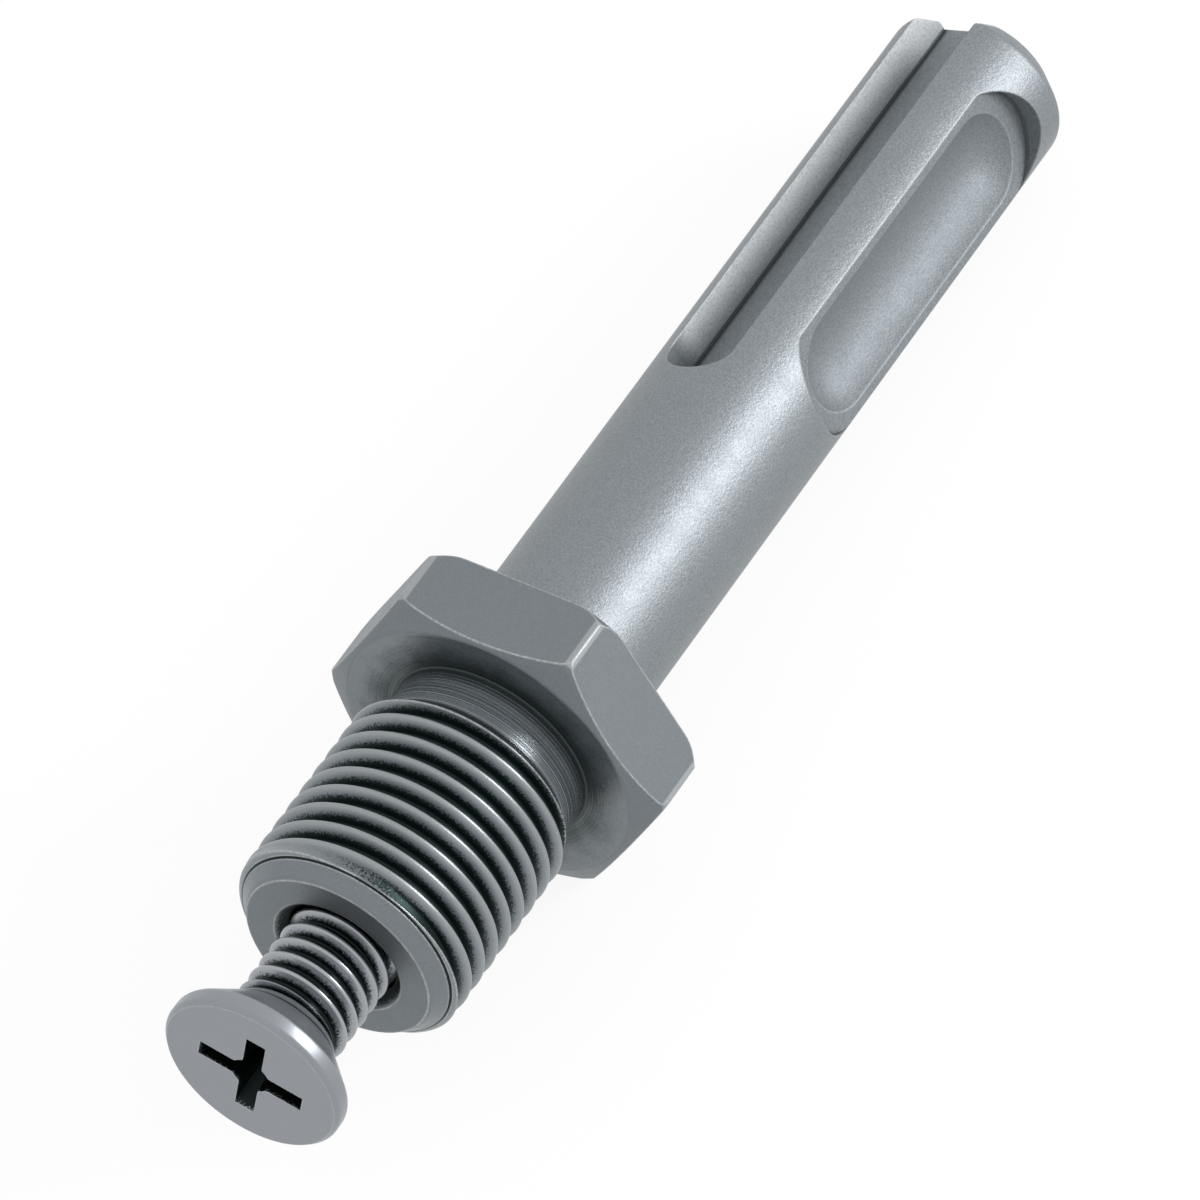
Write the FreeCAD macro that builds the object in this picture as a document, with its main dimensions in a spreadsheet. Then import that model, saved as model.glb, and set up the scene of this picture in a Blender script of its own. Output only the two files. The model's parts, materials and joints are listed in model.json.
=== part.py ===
"""Hammer drill chuck adapter with its retaining screw, lying as it comes to rest.

Both pieces are drawn upright in one frame: Z is the common axis, Z = 0 is the seat on the front
of the collar, the stud and the screw point up and the shank points down. The drive grooves of
the shank face along X and its locking grooves face along Y. At the end both pieces get the same
Placement, which lays them down with the origin at the bottom centre of their box.
"""
import FreeCAD, Part

import math
import os

import Sketcher

V = FreeCAD.Vector

# The driving dimensions, in millimetres and degrees. Lengths run along the axis.
SIZES = {
    # plain shank
    "shank_diameter": 10.0,
    "shank_length": 47.2,
    "shank_end_bevel": 1.4,
    "shank_end_round": 0.6,
    "shank_root_bevel": 0.4,
    # two drive grooves, open at the end of the shank
    "drive_width": 4.0,
    "drive_depth": 2.4,
    "drive_length": 28.6,
    # two locking grooves: a milled flat with round ends, and a round bottomed pocket in it
    "lock_flat_width": 6.7,
    "lock_flat_depth": 1.17,
    "lock_flat_setback": 3.1,
    "lock_flat_length": 23.1,
    "lock_pocket_radius": 3.5,
    "lock_pocket_depth": 1.3,
    "lock_pocket_setback": 1.4,
    # hexagonal collar
    "collar_flats": 16.8,
    "collar_thickness": 4.5,
    "collar_turn": 8.9,
    "collar_edge_round": 0.3,
    "collar_crown_radius": 18.0,
    "front_rim_inset": 0.3,
    "back_rim_outset": 0.4,
    "dish_depth": 0.3,
    # threaded stud with a plain neck behind the thread
    "stud_diameter": 12.7,
    "stud_length": 14.6,
    "stud_end_bevel": 1.15,
    "stud_pitch": 1.27,
    "stud_thread_depth": 0.78,
    "stud_groove_start": 0.765,
    "neck_length": 2.9,
    "neck_drop": 0.07,
    "neck_root_bevel": 0.35,
    # bore that takes the screw
    "screw_play": 0.1,
    "bore_spare": 2.0,
    "bore_mouth_bevel": 0.57,
    "drill_point_height": 1.8,
    # retaining screw, drawn to the crests of its fine left-hand thread
    "screw_diameter": 5.9,
    "screw_length": 22.0,
    "screw_gap": 8.28,
    "screw_point_bevel": 0.6,
    "head_diameter": 9.94,
    "head_rim_height": 1.0,
    "head_face_bevel": 0.15,
    # cross recess in the head of the screw
    "recess_turn": 56.5,
    "recess_span": 5.65,
    "recess_arm": 1.08,
    "recess_depth": 2.2,
    "recess_floor_span": 3.3,
    "recess_floor_arm": 0.7,
    "recess_eye": 2.3,
    "recess_eye_floor": 1.5,
    "recess_eye_point": 0.5,
}
# Widths of the thread groove at its root and at the crests, as shares of the pitch.
ROOT_SHARE = 0.16
MOUTH_SHARE = 0.86
# How far the thread cutter stands out past the crests, and any other cutter past its surface.
THREAD_OVERRUN = 0.08
OVERRUN = 1.0


class Size:
    """A number together with the expression that works it out from the spreadsheet."""

    def __init__(self, number, text):
        self.number = number
        self.text = text

    def __add__(self, other):
        other = sized(other)
        return Size(self.number + other.number, f"({self.text} + {other.text})")

    def __sub__(self, other):
        other = sized(other)
        return Size(self.number - other.number, f"({self.text} - {other.text})")

    def __mul__(self, other):
        other = sized(other)
        return Size(self.number * other.number, f"({self.text} * {other.text})")

    def __truediv__(self, other):
        other = sized(other)
        return Size(self.number / other.number, f"({self.text} / {other.text})")

    def __neg__(self):
        return self * -1


def sized(value):
    """A Size from a Size or a plain number."""
    return value if isinstance(value, Size) else Size(float(value), f"({float(value)!r})")


def cell(alias):
    """The Size that one cell of the spreadsheet holds."""
    return Size(SIZES[alias], f"Sizes.{alias}")


def square_root(value):
    """The square root of a Size."""
    return Size(math.sqrt(value.number), f"sqrt({value.text})")


ZERO = sized(0)
ACROSS_CORNERS = math.sqrt(3)
# Length of the tangents of an arc that rounds a turn of 45 degrees, as a share of its radius.
BEVEL_TANGENT = math.sqrt(2) - 1
SLANT = math.sqrt(2)
# Below this rise the two ends of an arc count as level.
LEVEL = 1e-6


def write_sheet(doc):
    """Writes one named cell for each driving dimension."""
    sheet = doc.addObject("Spreadsheet::Sheet", "Sizes")
    for row, (alias, number) in enumerate(SIZES.items(), start=1):
        sheet.set(f"A{row}", alias)
        sheet.set(f"B{row}", str(number))
        sheet.setAlias(f"B{row}", alias)
    doc.recompute()


def origin_part(body, role):
    """A plane or an axis of the body's own origin."""
    return next(item for item in body.Origin.OriginFeatures if item.Role == role)


def new_sketch(body, name, role, lift=None, turn=None):
    """A sketch on an origin plane of the body, lifted off it or turned in it where asked."""
    sketch = body.newObject("Sketcher::SketchObject", name)
    sketch.AttachmentSupport = [(origin_part(body, role), "")]
    sketch.MapMode = "FlatFace"
    if turn is not None:
        sketch.AttachmentOffset = FreeCAD.Placement(V(0, 0, 0), FreeCAD.Rotation(V(0, 0, 1), 1))
        sketch.setExpression(".AttachmentOffset.Rotation.Angle", turn.text)
    if lift is not None:
        sketch.setExpression(".AttachmentOffset.Base.z", lift.text)
    return sketch


def tie(sketch, kind, piece, end, value):
    """Holds one point of the sketch at a distance from the sketch's origin along one axis."""
    if value.number == 0:
        axis = -2 if kind == "DistanceX" else -1
        sketch.addConstraint(Sketcher.Constraint("PointOnObject", piece, end, axis))
        return
    rule = Sketcher.Constraint(kind, -1, 1, piece, end, value.number)
    sketch.setExpression(f"Constraints[{sketch.addConstraint(rule)}]", value.text)


def add_stretch(sketch, corner, start, stop):
    """One stretch of an outline: straight, or an arc round the centre that the corner gives."""
    if len(corner) == 2:
        return sketch.addGeometry(Part.LineSegment(start, stop), False)
    centre = V(corner[2].number, corner[3].number, 0)
    circle = Part.Circle(centre, V(0, 0, 1), (start - centre).Length)
    angles = [math.atan2(end.y - centre.y, end.x - centre.x) for end in (start, stop)]
    number = sketch.addGeometry(Part.ArcOfCircle(circle, angles[0], angles[1]), False)
    if abs(stop.y - start.y) < LEVEL:
        tie(sketch, "DistanceY", number, 3, corner[3])
    else:
        tie(sketch, "DistanceX", number, 3, corner[2])
    return number


def draw_loop(sketch, corners):
    """A closed outline with every corner tied to the spreadsheet.

    A corner is (x, y), or (x, y, centre x, centre y) where an arc starts. The outline runs
    anticlockwise, and so do its arcs.
    """
    points = [V(corner[0].number, corner[1].number, 0) for corner in corners]
    stretches = [
        add_stretch(sketch, corner, points[k], points[(k + 1) % len(corners)])
        for k, corner in enumerate(corners)
    ]
    for k, number in enumerate(stretches):
        after = stretches[(k + 1) % len(corners)]
        sketch.addConstraint(Sketcher.Constraint("Coincident", number, 2, after, 1))
        tie(sketch, "DistanceX", number, 1, corners[k][0])
        tie(sketch, "DistanceY", number, 1, corners[k][1])


def draw_circle(sketch, radius):
    """A circle about the sketch's origin."""
    number = sketch.addGeometry(Part.Circle(V(0, 0, 0), V(0, 0, 1), radius.number), False)
    sketch.addConstraint(Sketcher.Constraint("Coincident", number, 3, -1, 1))
    rule = sketch.addConstraint(Sketcher.Constraint("Radius", number, radius.number))
    sketch.setExpression(f"Constraints[{rule}]", radius.text)


def slot_outline(half_width, low, high):
    """The corners of a slot with a round end at low and at high."""
    return [
        (half_width, low + half_width),
        (half_width, high - half_width, ZERO, high - half_width),
        (-half_width, high - half_width),
        (-half_width, low + half_width, ZERO, low + half_width),
    ]


def turn_solid(body, name, sketch):
    """Turns the sketch round the Z axis and adds it."""
    feature = body.newObject("PartDesign::Revolution", name)
    feature.Profile = sketch
    feature.ReferenceAxis = (origin_part(body, "Z_Axis"), [""])
    feature.Angle = 360
    return feature


def turn_cut(body, name, sketch, axis):
    """Turns the sketch round an axis and cuts it away."""
    feature = body.newObject("PartDesign::Groove", name)
    feature.Profile = sketch
    feature.ReferenceAxis = axis
    feature.Angle = 360
    return feature


def straight_cut(body, name, sketch, depth, reverse):
    """Cuts the sketch away along its normal, to one side of its plane."""
    feature = body.newObject("PartDesign::Pocket", name)
    feature.Profile = sketch
    feature.setExpression("Length", depth.text)
    feature.Reversed = reverse
    return feature


def thread_cut(body):
    """Cuts the right-hand thread of the stud: one helical groove from the neck past the face."""
    crest = STUD_RADIUS
    depth = cell("stud_thread_depth")
    pitch = cell("stud_pitch")
    start = cell("stud_groove_start")
    root_half = pitch * ROOT_SHARE / 2
    slope = pitch * (MOUTH_SHARE - ROOT_SHARE) / 2 / depth
    mouth_half = root_half + slope * (depth + THREAD_OVERRUN)
    sketch = new_sketch(body, "thread_outline", "XZ_Plane")
    draw_loop(
        sketch,
        [
            (crest + THREAD_OVERRUN, start - mouth_half),
            (crest + THREAD_OVERRUN, start + mouth_half),
            (crest - depth, start + root_half),
            (crest - depth, start - root_half),
        ],
    )
    feature = body.newObject("PartDesign::SubtractiveHelix", "stud_thread")
    feature.Profile = sketch
    feature.ReferenceAxis = (origin_part(body, "Z_Axis"), [""])
    feature.Mode = "pitch-height-angle"
    feature.setExpression("Pitch", pitch.text)
    feature.setExpression("Height", STUD_FACE.text)
    feature.LeftHanded = False


SHANK_RADIUS = cell("shank_diameter") / 2
STUD_RADIUS = cell("stud_diameter") / 2
SCREW_RADIUS = cell("screw_diameter") / 2
HEAD_RADIUS = cell("head_diameter") / 2
COLLAR_BACK = -cell("collar_thickness")
SHANK_END = COLLAR_BACK - cell("shank_length")
COLLAR_CORNER = cell("collar_flats") / ACROSS_CORNERS
FRONT_RIM = cell("collar_flats") / 2 - cell("front_rim_inset")
BACK_RIM = cell("collar_flats") / 2 + cell("back_rim_outset")
STUD_FACE = cell("stud_length")
HEAD_FACE = STUD_FACE + cell("screw_gap")
HEAD_BASE = HEAD_FACE - cell("head_rim_height") - HEAD_RADIUS + SCREW_RADIUS


def crown_height(radius):
    """How far the crowned corners of the collar stand off their centre at one radius."""
    crown = cell("collar_crown_radius")
    return square_root(crown * crown - radius * radius)


def turned_blank(body):
    """Shank, collar, neck and stud, turned from one bar."""
    back_centre = COLLAR_BACK + crown_height(BACK_RIM)
    front_centre = -crown_height(FRONT_RIM)
    neck = STUD_RADIUS - cell("stud_thread_depth") - cell("neck_drop")
    neck_bevel = cell("neck_root_bevel")
    end_bevel = cell("shank_end_bevel")
    end_round = cell("shank_end_round")
    shoulder = SHANK_END + end_bevel + end_round * BEVEL_TANGENT
    root_bevel = cell("shank_root_bevel")
    stud_bevel = cell("stud_end_bevel")
    dish = -cell("dish_depth")
    sketch = new_sketch(body, "turned_outline", "XZ_Plane")
    draw_loop(
        sketch,
        [
            (ZERO, SHANK_END),
            (SHANK_RADIUS - end_bevel, SHANK_END),
            (SHANK_RADIUS - end_round + end_round / SLANT, shoulder - end_round / SLANT,
             SHANK_RADIUS - end_round, shoulder),
            (SHANK_RADIUS, shoulder),
            (SHANK_RADIUS, COLLAR_BACK - root_bevel),
            (SHANK_RADIUS + root_bevel, COLLAR_BACK),
            (BACK_RIM, COLLAR_BACK, ZERO, back_centre),
            (COLLAR_CORNER, back_centre - crown_height(COLLAR_CORNER)),
            (COLLAR_CORNER, front_centre + crown_height(COLLAR_CORNER), ZERO, front_centre),
            (FRONT_RIM, ZERO),
            (neck + neck_bevel, dish),
            (neck, dish + neck_bevel),
            (neck, cell("neck_length") - STUD_RADIUS + neck),
            (STUD_RADIUS, cell("neck_length")),
            (STUD_RADIUS, STUD_FACE - stud_bevel),
            (STUD_RADIUS - stud_bevel, STUD_FACE),
            (ZERO, STUD_FACE),
        ],
    )
    turn_solid(body, "turned_blank", sketch)


def hexagon_cut(body):
    """Cuts the round collar to a hexagon, and leaves the crowned corners of the blank."""
    sketch = new_sketch(body, "hexagon_outline", "XY_Plane", turn=cell("collar_turn"))
    draw_circle(sketch, COLLAR_CORNER + OVERRUN)
    side = COLLAR_CORNER / 2
    apothem = cell("collar_flats") / 2
    draw_loop(
        sketch,
        [
            (COLLAR_CORNER, ZERO),
            (side, apothem),
            (-side, apothem),
            (-COLLAR_CORNER, ZERO),
            (-side, -apothem),
            (side, -apothem),
        ],
    )
    straight_cut(body, "hexagon", sketch, cell("collar_thickness") + OVERRUN, False)


def collar_edges(shape):
    """The names of the six corner edges of the collar."""
    corner = COLLAR_CORNER.number
    names = []
    for number, edge in enumerate(shape.Edges, start=1):
        ends = [vertex.Point for vertex in edge.Vertexes]
        if len(ends) == 2 and all(abs(math.hypot(p.x, p.y) - corner) < 1e-3 for p in ends):
            if abs(ends[0].x - ends[1].x) + abs(ends[0].y - ends[1].y) < 1e-3:
                names.append(f"Edge{number}")
    return names


def round_collar(doc, body):
    """Rounds the corner edges of the collar."""
    doc.recompute()
    base = body.Tip
    rounding = body.newObject("PartDesign::Fillet", "collar_rounding")
    rounding.Base = (base, collar_edges(base.Shape))
    rounding.setExpression("Radius", cell("collar_edge_round").text)


def bore_cut(body):
    """The blind bore for the screw, with a bevelled mouth and the cone that the drill leaves."""
    radius = SCREW_RADIUS + cell("screw_play")
    mouth = cell("bore_mouth_bevel")
    bottom = STUD_FACE - cell("screw_length") - cell("bore_spare")
    sketch = new_sketch(body, "bore_outline", "XZ_Plane")
    draw_loop(
        sketch,
        [
            (ZERO, bottom - cell("drill_point_height")),
            (radius, bottom),
            (radius, STUD_FACE - mouth),
            (radius + mouth + OVERRUN, STUD_FACE + OVERRUN),
            (ZERO, STUD_FACE + OVERRUN),
        ],
    )
    turn_cut(body, "bore", sketch, (origin_part(body, "Z_Axis"), [""]))


def drive_groove(body):
    """One drive groove: square in section, round at its end, open at the end of the shank."""
    half = cell("drive_width") / 2
    reach = SHANK_END + cell("drive_length") - half
    floor = SHANK_RADIUS - cell("drive_depth")
    sketch = new_sketch(body, "drive_outline", "YZ_Plane", lift=floor)
    draw_loop(
        sketch,
        [
            (-half, SHANK_END - OVERRUN),
            (half, SHANK_END - OVERRUN),
            (half, reach, ZERO, reach),
            (-half, reach),
        ],
    )
    return straight_cut(body, "drive_groove", sketch, cell("drive_depth") + OVERRUN, True)


def lock_flat(body):
    """The milled flat of one locking groove, with a round wall at each end."""
    start = SHANK_END + cell("lock_flat_setback")
    floor = SHANK_RADIUS - cell("lock_flat_depth")
    sketch = new_sketch(body, "lock_flat_outline", "XZ_Plane", lift=floor)
    stop = start + cell("lock_flat_length")
    draw_loop(sketch, slot_outline(cell("lock_flat_width") / 2, start, stop))
    return straight_cut(body, "lock_flat", sketch, cell("lock_flat_depth") + OVERRUN, True)


def lock_pocket(body):
    """The round bottomed pocket in one locking flat, as a ball-ended cutter leaves it."""
    radius = cell("lock_pocket_radius")
    depth = cell("lock_pocket_depth")
    middle = SHANK_RADIUS - cell("lock_flat_depth") - depth + radius
    hidden = radius - square_root(depth * (radius * 2 - depth))
    edge = SHANK_END + cell("lock_flat_setback") + cell("lock_pocket_setback")
    low = edge - hidden
    high = edge + cell("lock_flat_length") - cell("lock_pocket_setback") * 2 + hidden
    sketch = new_sketch(body, "lock_pocket_outline", "XZ_Plane", lift=middle)
    draw_loop(
        sketch,
        [
            (ZERO, low, ZERO, low + radius),
            (radius, low + radius),
            (radius, high - radius, ZERO, high - radius),
            (ZERO, high),
        ],
    )
    return turn_cut(body, "lock_pocket", sketch, (sketch, ["V_Axis"]))


def opposite_grooves(body, grooves):
    """Repeats the grooves on the other side of the shank."""
    pattern = body.newObject("PartDesign::PolarPattern", "opposite_grooves")
    pattern.Originals = grooves
    pattern.Axis = (origin_part(body, "Z_Axis"), [""])
    pattern.Angle = 360
    pattern.Occurrences = 2
    body.Tip = pattern


def make_adapter(doc):
    """The adapter itself: grooved shank, hexagonal collar and threaded stud in one piece."""
    body = doc.addObject("PartDesign::Body", "adapter_body")
    body.Label = "adapter_body"
    turned_blank(body)
    hexagon_cut(body)
    round_collar(doc, body)
    bore_cut(body)
    opposite_grooves(body, [drive_groove(body), lock_flat(body), lock_pocket(body)])
    thread_cut(body)
    return body


def screw_blank(body):
    """Shaft and countersunk head of the screw, with a bevelled rim."""
    point = HEAD_FACE - cell("screw_length")
    point_bevel = cell("screw_point_bevel")
    face_bevel = cell("head_face_bevel")
    sketch = new_sketch(body, "screw_outline", "XZ_Plane")
    draw_loop(
        sketch,
        [
            (ZERO, point),
            (SCREW_RADIUS - point_bevel, point),
            (SCREW_RADIUS, point + point_bevel),
            (SCREW_RADIUS, HEAD_BASE),
            (HEAD_RADIUS, HEAD_FACE - cell("head_rim_height")),
            (HEAD_RADIUS, HEAD_FACE - face_bevel),
            (HEAD_RADIUS - face_bevel, HEAD_FACE),
            (ZERO, HEAD_FACE),
        ],
    )
    turn_solid(body, "screw_blank", sketch)


def cross_outline(body, name, height, span, arm):
    """An upright cross at one height."""
    sketch = new_sketch(body, name, "XY_Plane", lift=height, turn=cell("recess_turn"))
    far = span / 2
    near = arm / 2
    draw_loop(
        sketch,
        [
            (far, -near),
            (far, near),
            (near, near),
            (near, far),
            (-near, far),
            (-near, near),
            (-far, near),
            (-far, -near),
            (-near, -near),
            (-near, -far),
            (near, -far),
            (near, -near),
        ],
    )
    return sketch


def recess_cut(body):
    """The cross recess: four wings that narrow with depth, and a round eye in the middle."""
    floor = HEAD_FACE - cell("recess_depth")
    mouth = cross_outline(body, "recess_mouth", HEAD_FACE, cell("recess_span"), cell("recess_arm"))
    bottom = cross_outline(
        body, "recess_bottom", floor, cell("recess_floor_span"), cell("recess_floor_arm")
    )
    wings = body.newObject("PartDesign::SubtractiveLoft", "recess_wings")
    wings.Profile = mouth
    wings.Sections = [bottom]
    wings.Ruled = True
    sketch = new_sketch(body, "eye_outline", "XZ_Plane")
    draw_loop(
        sketch,
        [
            (ZERO, floor - cell("recess_eye_point")),
            (cell("recess_eye_floor") / 2, floor),
            (cell("recess_eye") / 2, HEAD_FACE),
            (ZERO, HEAD_FACE),
        ],
    )
    turn_cut(body, "recess_eye", sketch, (origin_part(body, "Z_Axis"), [""]))


def make_screw(doc):
    """The screw that holds the chuck on, backed out of the bore."""
    body = doc.addObject("PartDesign::Body", "retaining_screw")
    body.Label = "retaining_screw"
    screw_blank(body)
    recess_cut(body)
    return body


def lie_down(doc, bodies):
    """Lays the pieces on a flat of the collar and the end of the shank.

    The flat that faces down is centred on the angle collar_turn + 150 degrees. The axis tilts
    until the back edge of that flat and the rounded rim of the shank touch the surface.
    """
    down = SIZES["collar_turn"] + 150.0
    end_round = SIZES["shank_end_round"]
    run = SIZES["shank_length"] - SIZES["shank_end_bevel"] - end_round * BEVEL_TANGENT
    drop = (SIZES["collar_flats"] - SIZES["shank_diameter"]) / 2 + end_round
    tilt = math.degrees(math.atan2(drop, run) - math.asin(end_round / math.hypot(run, drop)))
    face_up = FreeCAD.Rotation(V(0, 0, 1), 180.0 - down)
    lay = FreeCAD.Rotation(V(0, 1, 0), tilt - 90.0)
    turn = lay.multiply(face_up)
    for body in bodies:
        body.Placement = FreeCAD.Placement(V(0, 0, 0), turn)
    doc.recompute()
    box = Part.makeCompound([body.Shape for body in bodies]).optimalBoundingBox(False)
    base = V(-(box.XMin + box.XMax) / 2, -(box.YMin + box.YMax) / 2, -box.ZMin)
    for body in bodies:
        body.Placement = FreeCAD.Placement(base, turn)
    doc.recompute()
    axis = turn.multVec(V(0, 0, 1))
    print("tilt", round(tilt, 4), "seat at", [round(v, 4) for v in base], "axis", list(axis))


def check(doc, bodies):
    """Stops if a feature failed or a piece is not one sound solid."""
    for item in doc.Objects:
        if "Invalid" in item.State or "Error" in item.State:
            raise RuntimeError(f"{item.Name} failed: {item.State}")
    for body in bodies:
        shape = body.Shape
        if shape.isNull() or not shape.isValid() or len(shape.Solids) != 1:
            raise RuntimeError(f"{body.Label} is not one sound solid")


def main():
    doc = FreeCAD.newDocument("chuck_adapter")
    write_sheet(doc)
    bodies = [make_adapter(doc), make_screw(doc)]
    doc.recompute()
    check(doc, bodies)
    lie_down(doc, bodies)
    check(doc, bodies)
    os.makedirs("parts", exist_ok=True)
    for body in bodies:
        body.Shape.exportStep(f"parts/{body.Label}.step")
        print(body.Label, round(body.Shape.Volume, 2), "mm3")


main()
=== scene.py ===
"""Hammer drill chuck adapter with its retaining screw: finished pieces, steel finishes and studio.

Every piece is drawn upright in millimetres, as it would stand in the lathe: Z is the common axis,
Z = 0 is the seat on the front of the collar, the stud and the screw point up and the shank points
down. The drive grooves face along X and the locking grooves along Y. lay_down() turns the finished
mesh to where the frame holds the part.
"""

import json
import math
from types import SimpleNamespace

import bmesh
import bpy
from mathutils import Matrix, Vector


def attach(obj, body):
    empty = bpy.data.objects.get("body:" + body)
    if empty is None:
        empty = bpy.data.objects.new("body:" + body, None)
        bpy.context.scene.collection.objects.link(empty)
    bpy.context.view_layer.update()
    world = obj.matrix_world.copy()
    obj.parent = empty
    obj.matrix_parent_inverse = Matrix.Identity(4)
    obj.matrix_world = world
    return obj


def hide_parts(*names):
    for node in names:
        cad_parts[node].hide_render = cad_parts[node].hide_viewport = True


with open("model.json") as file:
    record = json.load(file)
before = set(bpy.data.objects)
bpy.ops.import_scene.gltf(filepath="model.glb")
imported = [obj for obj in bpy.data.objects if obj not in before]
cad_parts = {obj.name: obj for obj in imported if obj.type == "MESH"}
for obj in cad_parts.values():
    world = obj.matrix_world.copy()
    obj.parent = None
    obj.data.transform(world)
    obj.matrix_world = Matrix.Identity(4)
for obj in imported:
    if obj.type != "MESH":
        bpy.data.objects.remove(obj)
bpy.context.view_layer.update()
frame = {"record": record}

MOUNTS = {mount["name"]: mount for mount in frame["record"]["mounts"]}

# Sizes in millimetres. Those that the frame gives are read from it.
STUD_RADIUS = MOUNTS["stud"]["dims"]["r_mm"]
STUD_FACE = MOUNTS["stud"]["dims"]["length_mm"]
SHANK_RADIUS = MOUNTS["shank"]["dims"]["r_mm"]
COLLAR_BACK = -4.5
SHANK_END = COLLAR_BACK - MOUNTS["shank"]["dims"]["length_mm"]
# turned blank
SHANK_END_BEVEL = 1.4
SHANK_END_ROUND = 0.15
SHANK_BEVEL_ROUND = 0.25
SHANK_ROOT_ROUND = 0.4
COLLAR_FLATS = 16.8
COLLAR_CORNER = COLLAR_FLATS / math.sqrt(3)
COLLAR_EDGE_BEVEL = 0.3
BAR_STOCK = 0.2
CROWN_RADIUS = 18.0
CROWN_STEPS = 16
FRONT_RIM = COLLAR_FLATS / 2 - 0.3
FRONT_RIM_ROUND = 0.12
BACK_RIM = 8.95
BACK_CORNER_DROP = 0.7
BACK_STEPS = 8
TIP_START = 9.45
TIP_DROP = 0.3
DISH_DEPTH = 0.3
NECK_RADIUS = 5.5
NECK_LENGTH = 2.9
NECK_FOOT_ROUND = 0.12
# where the turned neck ends inside the core of the stud
NECK_TOP = NECK_LENGTH - 0.4
# in degrees, the first corner of the collar and half of one side
COLLAR_TURN = 8.9
HALF_SIDE = 30.0
# stud thread, half inch by 20 to the inch
STUD_PITCH = 1.27
STUD_THREAD_DEPTH = 0.78
STUD_ROOT_HALF = 0.1
STUD_CREST_HALF = 0.11
STUD_CREST_START = 1.4
STUD_CORE_START = 1.3
STUD_END_BEVEL = 1.15
# the last groove fills up towards the start of the thread, with a lap in the bevel
FILLING_TURN = 50.0
FILLING_SHIFT = 0.37
FULL_TURNS = 9
LAST_CREST = STUD_CREST_START + STUD_PITCH * (FULL_TURNS + FILLING_TURN / 360)
FILLING_RADIUS = STUD_RADIUS - FILLING_SHIFT - 0.05
LAP_RADIUS = 5.9
LAP_HEIGHT = 13.68
# the lap's lip, its groove and the bevel inside it, as radius and height from the lap
LAP_OUTLINE = ((0.12, 0.02), (-0.05, -0.06), (0.0, 0.1))
# grooves of the shank
DRIVE_HALF_WIDTH = 2.0
DRIVE_DEPTH = 2.4
DRIVE_LENGTH = 28.6
DRIVE_DRAFT = 0.25
DRIVE_RUN_OFF = 5.0
FLAT_HALF_WIDTH = 3.35
FLAT_DEPTH = 1.17
FLAT_SETBACK = 3.1
FLAT_LENGTH = 23.1
POCKET_RADIUS = 3.5
POCKET_DEPTH = 1.3
POCKET_SETBACK = 1.4
# bore and retaining screw
BORE_RADIUS = 3.05
BORE_MOUTH = 0.57
BORE_BOTTOM = -9.4
DRILL_POINT = 1.8
SCREW_RADIUS = 2.95
SCREW_PITCH = 1.0
SCREW_THREAD_DEPTH = 0.56
SCREW_ROOT_HALF = 0.1
SCREW_CREST_HALF = 0.085
SCREW_CREST_START = 0.29
SCREW_POINT = 0.88
SCREW_POINT_BEVEL = 0.6
SCREW_FACE = 22.88
HEAD_BASE = 19.86
HEAD_BASE_ROUND = 0.15
UNDER_HEAD = (SCREW_RADIUS - 0.12, HEAD_BASE - 0.25, 0.1)
HEAD_RADIUS = 4.97
HEAD_RIM = 1.0
HEAD_RIM_ROUND = 0.15
HEAD_EDGE = 0.22
HEAD_EDGE_HEIGHT = 0.24
HEAD_EDGE_ROUND = 0.1
THREAD_END = HEAD_BASE - 0.35
# cross recess
RECESS_TURN = 56.5
RECESS_SPAN = 5.85
RECESS_ARM = 1.08
RECESS_DEPTH = 2.2
RECESS_FLOOR_SPAN = 3.3
RECESS_FLOOR_ARM = 0.7
RECESS_CORNER_ROUND = 0.55
RECESS_EYE = 2.2
RECESS_EYE_FLOOR = 1.5
RECESS_EYE_POINT = 0.5
# painted shade in the recess, from under its point to just inside its mouth
RECESS_SHADE = (20.05, SCREW_FACE - 0.03, 3.3)

# patterns of the steel, as marks on each millimetre
GRAINS = 9.0
DENTS = 6.0
PATCHES = 0.7
RINGS = 6.5
# depth of the turning rings, and width of the creases that are painted darker with shade and dirt
RING_DEPTH = 0.035
CREASE = 0.5
# how far the grain throws the edge of the painted shade and dirt about, in each place that holds
# them
THREAD_RAGGED = 0.6
PIT_RAGGED = 0.9
DISH_RAGGED = 0.8
FLOOR_RAGGED = 0.3
# how far the rings and the patches throw the painted shade and oil of the neck and the dish about
NECK_RINGED = 1.6
DISH_PATCHED = 2.4
# heights up the neck where its painted shade and oil end and where they are full, and how dark they
# are there
NECK_SHADE_END = 1.3
NECK_SHADE_FULL = 0.6
NECK_SHADE = 0.97
# how softly and how sharply a zone of the surface ends
FADE = 0.1
SHARP = 0.01
# how far a drive groove's wall lies from its middle plane, and how much its draft changes that
WALL_MIDDLE = DRIVE_HALF_WIDTH - 0.1
WALL_SPREAD = 0.16
# a radius or a height that lies off the piece
OFF = 100.0

MILLIMETRE = 0.001
TURN_STEPS = 256
THREAD_STEPS = 96
RING_STRETCH = 2.0
# how far a cutter reaches past the surface, and how far a trim stays clear of the crests
OVERRUN = 1.0
TRIM_GAP = 0.03
# faces that meet at less than this many degrees are shaded as one
SHADED_AS_ONE = 32.0


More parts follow.
